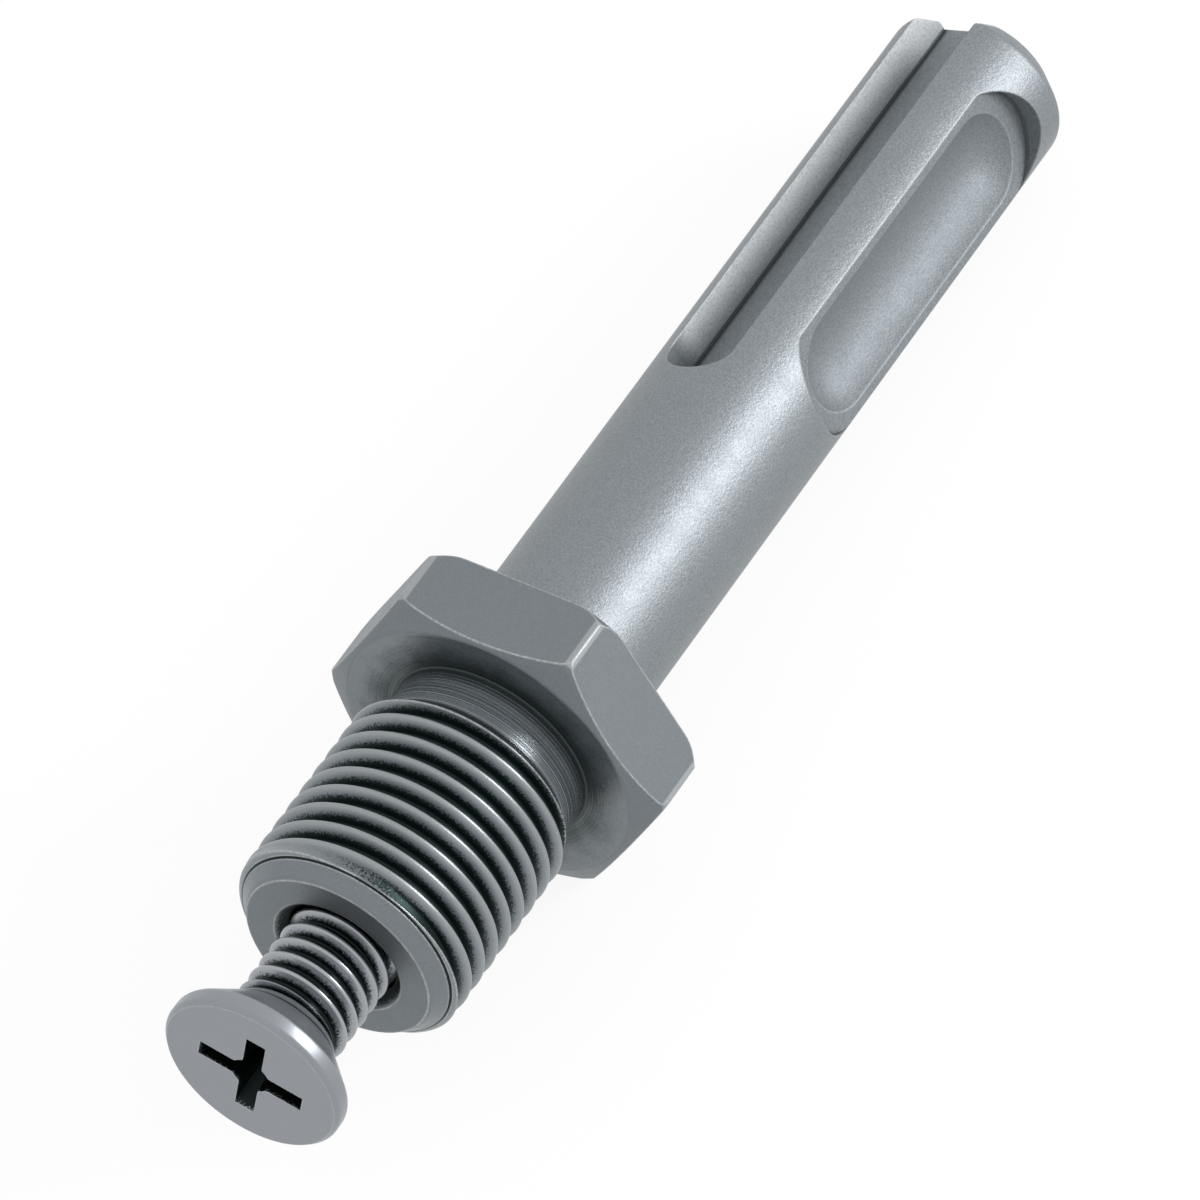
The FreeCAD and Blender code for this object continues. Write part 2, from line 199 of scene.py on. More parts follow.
def lay_down():
    """The matrix that takes the upright millimetres to the frame's place, in metres."""
    axis = Vector(MOUNTS["stud"]["axis"])
    up_flat = Vector(MOUNTS["spanner_flat_up"]["axis"])
    side = axis.cross(up_flat)
    turn = Matrix((up_flat, side, axis)).transposed().to_4x4()
    seat = Matrix.Translation(Vector(MOUNTS["stud"]["pos_m"]))
    # The flat that faces up is centred half a side before the first corner of the collar.
    spin = Matrix.Rotation(math.radians(HALF_SIDE - COLLAR_TURN), 4, "Z")
    return seat @ turn @ spin @ Matrix.Scale(MILLIMETRE, 4)


LAY = lay_down()


def linear(code):
    """The linear colour of an sRGB hex code."""
    parts = [int(code[k : k + 2], 16) / 255 for k in (1, 3, 5)]
    return [p / 12.92 if p <= 0.04045 else ((p + 0.055) / 1.055) ** 2.4 for p in parts] + [1.0]


def round_corner(mesh, corner, reach, segments):
    """Rounds one corner of an outline. The arc starts that far from the corner."""
    bmesh.ops.bevel(
        mesh, geom=[corner], offset=reach, offset_type="OFFSET", segments=segments,
        profile=0.5, affect="VERTICES", material=-1, clamp_overlap=False,
    )


def draw_outline(mesh, outline, segments):
    """An open outline in the XZ plane. A third number rounds that corner."""
    corners = [mesh.verts.new((point[0], 0.0, point[1])) for point in outline]
    for start, stop in zip(corners, corners[1:]):
        mesh.edges.new((start, stop))
    for corner, point in zip(corners, outline):
        if len(point) == 3:
            round_corner(mesh, corner, point[2], segments)


def close_up(mesh, gap=1e-4):
    """Merges doubled corners and points the faces outwards."""
    bmesh.ops.remove_doubles(mesh, verts=mesh.verts[:], dist=gap)
    bmesh.ops.recalc_face_normals(mesh, faces=mesh.faces[:])


def turned(outline, segments=5, steps=TURN_STEPS):
    """A solid turned about the Z axis, with its rings no further apart than the stretch."""
    mesh = bmesh.new()
    draw_outline(mesh, outline, segments)
    for edge in mesh.edges[:]:
        cuts = int(edge.calc_length() / RING_STRETCH)
        if cuts:
            bmesh.ops.subdivide_edges(mesh, edges=[edge], cuts=cuts)
    bmesh.ops.spin(
        mesh, geom=mesh.verts[:] + mesh.edges[:], cent=(0, 0, 0), axis=(0, 0, 1),
        angle=math.tau, steps=steps, use_merge=True,
    )
    close_up(mesh)
    return mesh


def slice_off(mesh, point, normal):
    """Cuts off what lies beyond a plane and closes the cut."""
    bmesh.ops.bisect_plane(
        mesh, geom=mesh.verts[:] + mesh.edges[:] + mesh.faces[:], dist=1e-5,
        plane_co=point, plane_no=normal, clear_outer=True,
    )
    rim = [edge for edge in mesh.edges if edge.is_boundary]
    bmesh.ops.edgeloop_fill(mesh, edges=rim)


def threaded_rod(crest, root, root_half, crest_half, pitch, first_crest, low, high, hand):
    """A closed rod with a rounded thread. hand is 1 for right and -1 for left."""
    mesh = bmesh.new()
    half = pitch / 2
    rounded = 0.8
    spare = 2
    draw_outline(
        mesh,
        [
            (root, -half),
            (root, -half + root_half, root_half * rounded),
            (crest, -crest_half, crest_half * rounded),
            (crest, crest_half, crest_half * rounded),
            (root, half - root_half, root_half * rounded),
            (root, half),
        ],
        segments=4,
    )
    below = math.ceil((first_crest - low) / pitch) + spare
    turns = math.ceil((high - low) / pitch) + 3 * spare
    start = first_crest - below * pitch
    bmesh.ops.translate(mesh, vec=(0, 0, start), verts=mesh.verts[:])
    bmesh.ops.spin(
        mesh, geom=mesh.verts[:] + mesh.edges[:], cent=(0, 0, 0), axis=(0, 0, 1),
        dvec=(0, 0, hand * pitch / THREAD_STEPS), angle=math.tau,
        steps=THREAD_STEPS, use_merge=False,
    )
    one_turn = mesh.verts[:] + mesh.edges[:] + mesh.faces[:]
    for k in range(1, turns):
        copy = bmesh.ops.duplicate(mesh, geom=one_turn)
        corners = [item for item in copy["geom"] if isinstance(item, bmesh.types.BMVert)]
        bmesh.ops.translate(mesh, vec=(0, 0, k * pitch), verts=corners)
    bmesh.ops.remove_doubles(mesh, verts=mesh.verts[:], dist=0.004)
    slice_off(mesh, (0, 0, high), (0, 0, 1))
    slice_off(mesh, (0, 0, low), (0, 0, -1))
    close_up(mesh, 1e-5)
    return mesh


def hull_of_circles(places, turn):
    """The solid stretched over some circles, each given by radius and place, then turned."""
    mesh = bmesh.new()
    for radius, place in places:
        bmesh.ops.create_circle(
            mesh, segments=128, radius=radius, matrix=Matrix.Translation(Vector(place))
        )
    bmesh.ops.convex_hull(mesh, input=mesh.verts[:])
    bmesh.ops.transform(mesh, matrix=turn, verts=mesh.verts[:])
    close_up(mesh)
    return mesh


def slot_cutter(half_width, low, high, floor, side, draft=0.0):
    """The end mill's path for one groove: round at both ends, narrower at the floor."""
    ends = (low + half_width, high - half_width)
    outside = SHANK_RADIUS + OVERRUN
    spread = draft * OVERRUN / (SHANK_RADIUS - floor)
    levels = ((half_width - draft, floor), (half_width + spread, outside))
    places = [(radius, (-z, 0, x)) for z in ends for radius, x in levels]
    stand = Matrix.Rotation(side, 4, "Z") @ Matrix.Rotation(math.radians(90.0), 4, "Y")
    return hull_of_circles(places, stand)


def pocket_cutter(side):
    """The ball-ended cutter's path for one pocket."""
    middle = SHANK_RADIUS - FLAT_DEPTH - POCKET_DEPTH + POCKET_RADIUS
    hidden = POCKET_RADIUS - math.sqrt(POCKET_DEPTH * (POCKET_RADIUS * 2 - POCKET_DEPTH))
    edge = SHANK_END + FLAT_SETBACK + POCKET_SETBACK
    low = edge - hidden
    high = edge + FLAT_LENGTH - POCKET_SETBACK * 2 + hidden
    mesh = turned(
        [
            (0, low),
            (POCKET_RADIUS, low, POCKET_RADIUS * 0.999),
            (POCKET_RADIUS, high, POCKET_RADIUS * 0.999),
            (0, high),
        ],
        segments=32,
    )
    place = Matrix.Rotation(side, 4, "Z") @ Matrix.Translation((middle, 0, 0))
    bmesh.ops.transform(mesh, matrix=place, verts=mesh.verts[:])
    return mesh


def as_object(name, mesh):
    """An object that holds the mesh."""
    data = bpy.data.meshes.new(name)
    mesh.to_mesh(data)
    mesh.free()
    piece = bpy.data.objects.new(name, data)
    bpy.context.scene.collection.objects.link(piece)
    return piece


def combine(base, tool, operation):
    """Joins, cuts or intersects one mesh with another, and gives the new mesh."""
    target = as_object("target", base)
    cutter = as_object("cutter", tool)
    step = target.modifiers.new("step", "BOOLEAN")
    step.operation = operation
    step.solver = "MANIFOLD"
    step.object = cutter
    shape = target.evaluated_get(bpy.context.evaluated_depsgraph_get())
    data = bpy.data.meshes.new_from_object(shape)
    mesh = bmesh.new()
    mesh.from_mesh(data)
    for piece in (target, cutter):
        bpy.data.meshes.remove(piece.data)
    bpy.data.meshes.remove(data)
    return mesh


def crown(radius):
    """Height of the crowned corners of the collar at one radius, over their centre."""
    return math.sqrt(CROWN_RADIUS**2 - radius**2)


def tip_drop(radius, start, drop):
    """How far the worn tips of the collar's corners lie back at one radius."""
    reach = max(0.0, radius - start) / (COLLAR_CORNER - start)
    return drop * reach**2


def turned_blank():
    """Shank, collar and neck, turned from one bar, with a core for the stud."""
    bar = COLLAR_CORNER + BAR_STOCK
    front_centre = -crown(FRONT_RIM)
    inwards = [bar - (bar - FRONT_RIM) * k / CROWN_STEPS for k in range(CROWN_STEPS)]
    outwards = [BACK_RIM + (bar - BACK_RIM) * (k + 1) / BACK_STEPS for k in range(BACK_STEPS)]
    outline = [
        (0, SHANK_END),
        (SHANK_RADIUS - SHANK_END_BEVEL, SHANK_END, SHANK_END_ROUND),
        (SHANK_RADIUS, SHANK_END + SHANK_END_BEVEL, SHANK_BEVEL_ROUND),
        (SHANK_RADIUS, COLLAR_BACK, SHANK_ROOT_ROUND),
        (BACK_RIM, COLLAR_BACK),
        *[(far, COLLAR_BACK + tip_drop(far, BACK_RIM, BACK_CORNER_DROP)) for far in outwards],
        *[(far, front_centre + crown(far) - tip_drop(far, TIP_START, TIP_DROP)) for far in inwards],
        (FRONT_RIM, 0.0, FRONT_RIM_ROUND),
        (NECK_RADIUS, -DISH_DEPTH, NECK_FOOT_ROUND),
        (NECK_RADIUS, NECK_TOP),
        (0, NECK_TOP),
    ]
    return turned(outline)


def cut_hexagon(mesh):
    """Mills the collar to a hexagon and breaks its corner edges."""
    for k in range(6):
        angle = math.radians(COLLAR_TURN + HALF_SIDE * (2 * k + 1))
        normal = Vector((math.cos(angle), math.sin(angle), 0))
        slice_off(mesh, normal * COLLAR_FLATS / 2, normal)
    close_up(mesh)
    upright = [
        edge for edge in mesh.edges
        if all(abs(math.hypot(v.co.x, v.co.y) - COLLAR_CORNER) < 0.01 for v in edge.verts)
        and abs(edge.verts[0].co.z - edge.verts[1].co.z) > 0.5
    ]
    bmesh.ops.bevel(
        mesh, geom=upright, offset=COLLAR_EDGE_BEVEL, offset_type="OFFSET", segments=4,
        profile=0.5, affect="EDGES", material=-1, clamp_overlap=False,
    )


def threaded_stud():
    """The stud's thread, trimmed to its bevelled end and to the cone behind the thread."""
    rod = threaded_rod(
        STUD_RADIUS, STUD_RADIUS - STUD_THREAD_DEPTH, STUD_ROOT_HALF, STUD_CREST_HALF,
        STUD_PITCH, STUD_CREST_START, STUD_CORE_START - 0.4, STUD_FACE + 0.8, 1,
    )
    clear = STUD_RADIUS + TRIM_GAP
    core = NECK_RADIUS - 0.05
    envelope = turned(
        [
            (0, STUD_CORE_START),
            (core, STUD_CORE_START),
            (core, NECK_LENGTH - STUD_RADIUS + core),
            (clear, NECK_LENGTH - STUD_RADIUS + clear),
            (clear, STUD_FACE - STUD_END_BEVEL - 0.15),
            (STUD_RADIUS - 0.08, STUD_FACE - STUD_END_BEVEL + 0.05),
            *[(LAP_RADIUS + out, LAP_HEIGHT + up) for out, up in LAP_OUTLINE],
            (STUD_RADIUS - STUD_END_BEVEL, STUD_FACE),
            (0, STUD_FACE),
        ]
    )
    filling = turned(
        [
            (0, LAST_CREST),
            (FILLING_RADIUS, LAST_CREST),
            (FILLING_RADIUS, STUD_FACE - 0.3),
            (0, STUD_FACE - 0.3),
        ]
    )
    turn = math.radians(FILLING_TURN)
    aside = Vector((math.cos(turn), math.sin(turn), 0)) * FILLING_SHIFT
    bmesh.ops.translate(filling, vec=aside, verts=filling.verts[:])
    rod = combine(rod, filling, "UNION")
    return combine(rod, envelope, "INTERSECT")


def bore():
    """What the drill and the countersink take out for the screw."""
    return turned(
        [
            (0, BORE_BOTTOM - DRILL_POINT),
            (BORE_RADIUS, BORE_BOTTOM),
            (BORE_RADIUS, STUD_FACE - BORE_MOUTH),
            (BORE_RADIUS + BORE_MOUTH + OVERRUN, STUD_FACE + OVERRUN),
            (0, STUD_FACE + OVERRUN),
        ]
    )


def adapter():
    """The adapter in one piece."""
    mesh = turned_blank()
    cut_hexagon(mesh)
    mesh = combine(mesh, threaded_stud(), "UNION")
    mesh = combine(mesh, bore(), "DIFFERENCE")
    reach = SHANK_END + DRIVE_LENGTH
    flat_low = SHANK_END + FLAT_SETBACK
    drive_floor = SHANK_RADIUS - DRIVE_DEPTH
    flat_floor = SHANK_RADIUS - FLAT_DEPTH
    for half_turn in (0.0, math.pi):
        quarter = half_turn + math.pi / 2
        drive = slot_cutter(
            DRIVE_HALF_WIDTH, SHANK_END - DRIVE_RUN_OFF, reach, drive_floor, half_turn,
            DRIVE_DRAFT,
        )
        mesh = combine(mesh, drive, "DIFFERENCE")
        flat = slot_cutter(
            FLAT_HALF_WIDTH, flat_low, flat_low + FLAT_LENGTH, flat_floor, quarter
        )
        mesh = combine(mesh, flat, "DIFFERENCE")
        mesh = combine(mesh, pocket_cutter(quarter), "DIFFERENCE")
    return mesh


def recess_cutter():
    """The punch that forms the cross recess: four tapered wings and a round point."""
    mesh = bmesh.new()
    wings = ((RECESS_FLOOR_SPAN, RECESS_FLOOR_ARM), (RECESS_SPAN, RECESS_ARM))
    heights = (SCREW_FACE - RECESS_DEPTH, SCREW_FACE)
    loops = []
    for (span, arm), height in zip(wings, heights):
        far = span / 2
        near = arm / 2
        quarter = [(far, -near), (far, near), (near, near)]
        loop = []
        for k in range(4):
            turn = Matrix.Rotation(math.pi / 2 * k, 4, "Z")
            loop += [mesh.verts.new(turn @ Vector((x, y, height))) for x, y in quarter]
        loops.append(loop)
    edges = []
    for loop in loops:
        edges += [mesh.edges.new((loop[k - 1], loop[k])) for k in range(len(loop))]
    bmesh.ops.bridge_loops(mesh, edges=edges)
    for loop in loops:
        mesh.faces.new(loop)
    inner = [
        edge for edge in mesh.edges
        if abs(edge.verts[0].co.z - edge.verts[1].co.z) > 1
        and math.hypot(edge.verts[1].co.x, edge.verts[1].co.y) < RECESS_ARM
    ]
    bmesh.ops.bevel(
        mesh, geom=inner, offset=RECESS_CORNER_ROUND, offset_type="OFFSET", segments=5,
        profile=0.5, affect="EDGES", material=-1, clamp_overlap=False,
    )
    close_up(mesh)
    return mesh


def screw():
    """The retaining screw: turned head and shaft, rolled left-hand thread, punched recess."""
    core = SCREW_RADIUS - SCREW_THREAD_DEPTH
    blank = turned(
        [
            (0, SCREW_POINT + 0.3),
            (core - TRIM_GAP, SCREW_POINT + 0.3),
            (core - TRIM_GAP, HEAD_BASE - 0.5),
            UNDER_HEAD,
            (SCREW_RADIUS, HEAD_BASE, HEAD_BASE_ROUND),
            (HEAD_RADIUS, SCREW_FACE - HEAD_RIM, HEAD_RIM_ROUND),
            (HEAD_RADIUS, SCREW_FACE - HEAD_EDGE_HEIGHT, HEAD_EDGE_ROUND),
            (HEAD_RADIUS - HEAD_EDGE, SCREW_FACE),
            (0, SCREW_FACE),
        ]
    )
    rod = threaded_rod(
        SCREW_RADIUS, core, SCREW_ROOT_HALF, SCREW_CREST_HALF, SCREW_PITCH,
        SCREW_CREST_START, SCREW_POINT - OVERRUN, HEAD_BASE - 0.1, -1,
    )
    clear = SCREW_RADIUS + TRIM_GAP
    envelope = turned(
        [
            (0, SCREW_POINT),
            (clear - SCREW_POINT_BEVEL, SCREW_POINT),
            (clear, SCREW_POINT + SCREW_POINT_BEVEL),
            (clear, THREAD_END - 0.4),
            (core - 0.08, THREAD_END),
            (0, THREAD_END),
        ]
    )
    thread = combine(rod, envelope, "INTERSECT")
    mesh = combine(blank, thread, "UNION")
    cross = recess_cutter()
    turn = Matrix.Rotation(math.radians(RECESS_TURN), 4, "Z")
    bmesh.ops.transform(cross, matrix=turn, verts=cross.verts[:])
    mesh = combine(mesh, cross, "DIFFERENCE")
    eye = turned(
        [
            (0, SCREW_FACE - RECESS_DEPTH - RECESS_EYE_POINT),
            (RECESS_EYE_FLOOR / 2, SCREW_FACE - RECESS_DEPTH),
            (RECESS_EYE / 2, SCREW_FACE + 0.01),
            (0, SCREW_FACE + 0.01),
        ],
        steps=64,
    )
    return combine(mesh, eye, "DIFFERENCE")


def finish_piece(name, mesh, body, node, material):
    """Lays a finished piece down, shades it and hangs it on its body."""
    bmesh.ops.remove_doubles(mesh, verts=mesh.verts[:], dist=1e-4)
    for face in mesh.faces:
        face.smooth = True
    crease = math.radians(SHADED_AS_ONE)
    for edge in mesh.edges:
        edge.smooth = len(edge.link_faces) == 2 and edge.calc_face_angle(0) < crease
    bmesh.ops.transform(mesh, matrix=LAY, verts=mesh.verts[:])
    piece = as_object(name, mesh)
    piece.data.materials.append(material)
    weigh = piece.modifiers.new("face_weights", "WEIGHTED_NORMAL")
    weigh.keep_sharp = True
    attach(piece, body)
    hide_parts(node)


def add_node(material, kind, settings=None, **inputs):
    """Adds a node with its settings. What a node gives is linked to an input, the rest is set."""
    node = material.node_tree.nodes.new(kind)
    for key, value in (settings or {}).items():
        setattr(node, key, value)
    for key, value in inputs.items():
        socket = node.inputs[int(key[1:]) if key[1:].isdigit() else key.replace("_", " ")]
        source = value.outputs[0] if isinstance(value, bpy.types.Node) else value
        if isinstance(source, bpy.types.NodeSocket):
            material.node_tree.links.new(source, socket)
        else:
            socket.default_value = source
    return node


def inside_bands(material, bands, whole=1.0):
    """The share of the whole inside all bands: for each a place, where it ends and is full."""
    for place, end, full in bands:
        ramp = add_node(
            material, "ShaderNodeMapRange", {"interpolation_type": "SMOOTHSTEP"}, Value=place,
            From_Min=end, From_Max=full,
        )
        whole = add_node(
            material, "ShaderNodeMath", {"operation": "MULTIPLY"}, _0=ramp, _1=whole
        )
    return whole


def survey(material, finish):
    """Where each point lies about the axis, in millimetres, and the patterns drawn over it."""
    at = SimpleNamespace()
    coordinates = add_node(material, "ShaderNodeTexCoord")
    axis = add_node(
        material, "ShaderNodeMapping", {"vector_type": "TEXTURE"},
        Vector=coordinates.outputs["Object"], Location=LAY.to_translation(),
        Rotation=LAY.to_euler(), Scale=(MILLIMETRE, MILLIMETRE, MILLIMETRE),
    )
    across = add_node(
        material, "ShaderNodeVectorMath", {"operation": "MULTIPLY"}, _0=axis,
        _1=(1.0, 1.0, 0.0),
    )
    length = add_node(material, "ShaderNodeVectorMath", {"operation": "LENGTH"}, _0=across)
    split = add_node(material, "ShaderNodeSeparateXYZ", _0=axis)
    at.radius = length.outputs["Value"]
    at.height = split.outputs["Z"]
    # distances from the middle planes of the drive grooves and of the locking grooves
    at.off_drive = add_node(
        material, "ShaderNodeMath", {"operation": "ABSOLUTE"}, _0=split.outputs["Y"]
    )
    at.off_lock = add_node(
        material, "ShaderNodeMath", {"operation": "ABSOLUTE"}, _0=split.outputs["X"]
    )
    # fine grit of the plating
    at.grain = add_node(
        material, "ShaderNodeTexNoise", Vector=axis, Scale=GRAINS, Detail=2.0, Roughness=0.6
    )
    # dents of the blasting, drawn as coarse as they need to show
    at.dents = add_node(
        material, "ShaderNodeTexNoise", Vector=axis, Scale=DENTS, Detail=3.0, Roughness=0.65
    )
    # cloudy patches of the plating
    at.patches = add_node(
        material, "ShaderNodeTexNoise", Vector=axis, Scale=PATCHES, Detail=3.0, Roughness=0.6
    )
    # rings that the turning tool left on the neck and in the dish
    along = add_node(
        material, "ShaderNodeMath", {"operation": "ADD"}, _0=at.radius, _1=at.height
    )
    at.rings = add_node(
        material, "ShaderNodeTexNoise", {"noise_dimensions": "1D"}, W=along, Scale=RINGS,
        Detail=2.0, Roughness=0.7,
    )
    # how open the surface is, and its normal with rounded edges
    openness = add_node(
        material, "ShaderNodeAmbientOcclusion", {"samples": 8, "only_local": True},
        Distance=CREASE * MILLIMETRE,
    )
    at.openness = openness.outputs["AO"]
    at.rounded = add_node(
        material, "ShaderNodeBevel", {"samples": 6}, Radius=finish["edge"] * MILLIMETRE
    )
    return at


def mark_zones(material, finish, at):
    """Masks of where the surface was blasted, milled, turned and threaded."""
    blast_to = finish["blast_to"]
    blasted_height = (at.height, blast_to + FADE, blast_to - FADE)
    at.blasted = inside_bands(material, [blasted_height])
    milled = finish["milled"]
    at.milled = inside_bands(material, [(at.radius, milled + FADE / 2, milled)], at.blasted)
    low, high, rim = finish["turned"]
    at.turned = inside_bands(material, [
        (at.height, low - FADE, low),
        (at.height, high + 3 * FADE, high),
        (at.radius, rim + FADE, rim),
    ])
    start, end = finish["thread"]
    inner = finish["crest"] - 1.0
    at.threaded = inside_bands(material, [
        (at.radius, inner - SHARP, inner),
        (at.height, start - 0.5, start),
        (at.height, end + FADE / 2, end),
    ])
    # the foot of the neck, which the turning tool's rings make ragged
    ringed_height = add_node(
        material, "ShaderNodeMath", {"operation": "MULTIPLY_ADD"},
        _0=at.rings, _1=NECK_RINGED, _2=at.height,
    )
    foot = (ringed_height, NECK_SHADE_END, NECK_SHADE_FULL)
    at.neck_foot = inside_bands(material, [foot], NECK_SHADE)


def thread_root_shade(material, finish, at):
    """Painted shade and dirt in the roots of the thread, ragged by the grain."""
    # depth below the crests, or below the bevelled end where that lies further in
    bevel_line = add_node(
        material, "ShaderNodeMath", {"operation": "SUBTRACT"},
        _0=finish["bevel_sum"], _1=at.height,
    )
    envelope = add_node(
        material, "ShaderNodeMath", {"operation": "MINIMUM"},
        _0=bevel_line, _1=finish["crest"],
    )
    depth = add_node(
        material, "ShaderNodeMath", {"operation": "SUBTRACT"}, _0=envelope, _1=at.radius
    )
    ragged = add_node(
        material, "ShaderNodeMath", {"operation": "MULTIPLY_ADD"},
        _0=at.grain, _1=THREAD_RAGGED, _2=depth,
    )
    clean, full = finish["soil_depth"]
    middle = THREAD_RAGGED / 2
    return inside_bands(material, [(ragged, clean + middle, full + middle)], at.threaded)


def pit_shade(material, finish, at):
    """Painted shade in the recess of the screw and in the bore of the adapter, ragged towards its
    mouth.
    """
    low, high, radius = finish["pit"]
    ragged = add_node(
        material, "ShaderNodeMath", {"operation": "MULTIPLY_ADD"},
        _0=at.grain, _1=PIT_RAGGED, _2=at.height,
    )
    return inside_bands(material, [
        (at.height, low - SHARP, low),
        (at.height, high + SHARP, high),
        (at.radius, radius + SHARP, radius),
        (ragged, high + PIT_RAGGED * 2 / 3, high + PIT_RAGGED / 3),
    ])


def neck_shade(material, finish, at):
    """Painted shade and burnt oil at the foot of the neck and in the dish, in rings and uneven
    patches.
    """
    uneven = add_node(
        material, "ShaderNodeMath", {"operation": "MULTIPLY_ADD"},
        _0=at.patches, _1=DISH_PATCHED, _2=at.radius,
    )
    gritty = add_node(
        material, "ShaderNodeMath", {"operation": "MULTIPLY_ADD"},
        _0=at.grain, _1=DISH_RAGGED, _2=uneven,
    )
    rim = finish["turned"][2]
    oil_and_shade = inside_bands(material, [(gritty, rim + 1.5, rim - 0.6)], at.neck_foot)
    ring_tone = add_node(
        material, "ShaderNodeMapRange", Value=at.rings, From_Min=0.35, From_Max=0.65,
        To_Min=0.6,
    )
    for share in (at.turned, ring_tone):
        oil_and_shade = add_node(
            material, "ShaderNodeMath", {"operation": "MULTIPLY"}, _0=oil_and_shade, _1=share
        )
    return oil_and_shade


def groove_crease_shade(material, finish, at):
    """Painted shade and packed dirt along the edges of the drive grooves' floors."""
    ragged = add_node(
        material, "ShaderNodeMath", {"operation": "MULTIPLY_ADD"},
        _0=at.grain, _1=FLOOR_RAGGED, _2=at.off_drive,
    )
    edge = DRIVE_HALF_WIDTH - DRIVE_DRAFT
    floor = SHANK_RADIUS - DRIVE_DEPTH
    floor_edge_shade = inside_bands(material, [
        (ragged, edge - 0.25, edge + 0.05),
        (at.off_drive, WALL_MIDDLE + SHARP, WALL_MIDDLE),
        (at.off_lock, floor + FADE + SHARP, floor + FADE),
        (at.off_lock, floor - FADE - SHARP, floor - FADE),
    ], at.milled)
    return add_node(
        material, "ShaderNodeMath", {"operation": "MULTIPLY"},
        _0=floor_edge_shade, _1=finish["crease_soil"],
    )


def rubbed_edges(material, finish, at):
    """Edges rubbed bright, unevenly, and less on the blasted shank."""
    facing = add_node(material, "ShaderNodeNewGeometry")
    agree = add_node(
        material, "ShaderNodeVectorMath", {"operation": "DOT_PRODUCT"},
        _0=at.rounded, _1=facing.outputs["Normal"],
    )
    rubbed = add_node(
        material, "ShaderNodeMapRange", Value=agree.outputs["Value"], From_Min=0.99,
        From_Max=0.95, To_Max=finish["wear"],
    )
    outer = add_node(
        material, "ShaderNodeMapRange", Value=at.openness, From_Min=0.8, From_Max=0.95
    )
    uneven = add_node(
        material, "ShaderNodeMapRange", Value=at.dents, From_Min=0.35, From_Max=0.6,
        To_Min=0.35,
    )
    spared = add_node(
        material, "ShaderNodeMapRange", Value=at.blasted, To_Min=1.0, To_Max=0.35
    )
    for share in (uneven, outer, spared):
        rubbed = add_node(
            material, "ShaderNodeMath", {"operation": "MULTIPLY"}, _0=rubbed, _1=share
        )
    return rubbed


def rubbed_crests(material, finish, at):
    """Crests of the thread rubbed a little by the nut."""
    crest = finish["crest"]
    rubbed = add_node(
        material, "ShaderNodeMapRange", Value=at.radius, From_Min=crest - 0.3,
        From_Max=crest - 0.05, To_Max=0.22,
    )
    return add_node(
        material, "ShaderNodeMath", {"operation": "MULTIPLY"}, _0=rubbed, _1=at.threaded
    )


def rubbed_lit_walls(material, at):
    """Walls of the drive grooves, rubbed by the driving keys, with painted light brightest towards
    the skin.
    """
    # painted light: lighter towards the skin, where light falls on the wall, darker towards the
    # shaded floor
    rubbed = add_node(
        material, "ShaderNodeMapRange", Value=at.off_lock,
        From_Min=SHANK_RADIUS - DRIVE_DEPTH + 0.1, From_Max=SHANK_RADIUS - 0.6, To_Min=0.35,
        To_Max=0.85,
    )
    on_wall = add_node(
        material, "ShaderNodeMath", {"operation": "COMPARE"}, _0=at.off_drive,
        _1=WALL_MIDDLE, _2=WALL_SPREAD,
    )
    mottled = add_node(
        material, "ShaderNodeMapRange", Value=at.grain, From_Min=0.3, From_Max=0.6, To_Min=0.6
    )
    groove_end = SHANK_END + DRIVE_LENGTH - DRIVE_HALF_WIDTH
    before_end = add_node(
        material, "ShaderNodeMapRange", Value=at.height, From_Min=groove_end,
        From_Max=groove_end - 1.2,
    )
    for share in (on_wall, mottled, before_end, at.milled):
        rubbed = add_node(
            material, "ShaderNodeMath", {"operation": "MULTIPLY"}, _0=rubbed, _1=share
        )
    return rubbed


def plating_colour(material, finish, at):
    """Grey plating, speckled by its grain, more so where it was blasted."""
    least = add_node(
        material, "ShaderNodeMapRange", Value=at.blasted, To_Min=0.15, To_Max=0.3
    )
    most = add_node(material, "ShaderNodeMapRange", Value=at.blasted, To_Min=0.4)
    speckle = add_node(
        material, "ShaderNodeMapRange", Value=at.grain, From_Min=0.3, From_Max=0.7,
        To_Min=least, To_Max=most,
    )
    tone = add_node(
        material, "ShaderNodeMix", {"data_type": "RGBA"}, _0=speckle,
        _6=linear(finish["dark"]), _7=linear(finish["light"]),
    )
    return tone.outputs[2]


def gloss(material, finish, at):
    """Roughness: smoother on threads and turned metal, rougher where cut and blasted."""
    rough = add_node(
        material, "ShaderNodeMapRange", Value=at.patches, From_Min=0.3, From_Max=0.7,
        To_Min=finish["roughness"] - 0.02, To_Max=finish["roughness"] + 0.03,
    )
    for zone, change in ((at.threaded, -0.1), (at.turned, -0.18), (at.milled, 0.15)):
        rough = add_node(
            material, "ShaderNodeMath", {"operation": "MULTIPLY_ADD"},
            _0=zone, _1=change, _2=rough,
        )
    return rough.outputs[0]


def relief(material, finish, at):
    """The normal of rounded edges with the grain, the dents and the turning rings."""
    gritty = add_node(material, "ShaderNodeMapRange", Value=at.blasted, To_Min=0.35)
    scored = add_node(
        material, "ShaderNodeMapRange", Value=at.neck_foot, From_Min=1.0, From_Max=0.0,
        To_Min=0.3,
    )
    ringed = add_node(
        material, "ShaderNodeMath", {"operation": "MULTIPLY"}, _0=scored, _1=at.turned
    )
    normal = at.rounded
    for pattern, strength, depth in (
        (at.grain, gritty, finish["grain_depth"]),
        (at.dents, at.blasted, finish["dent_depth"]),
        (at.rings, ringed, RING_DEPTH),
    ):
        normal = add_node(
            material, "ShaderNodeBump", Height=pattern, Strength=strength,
            Distance=depth * MILLIMETRE, Normal=normal,
        )
    return normal.outputs[0]


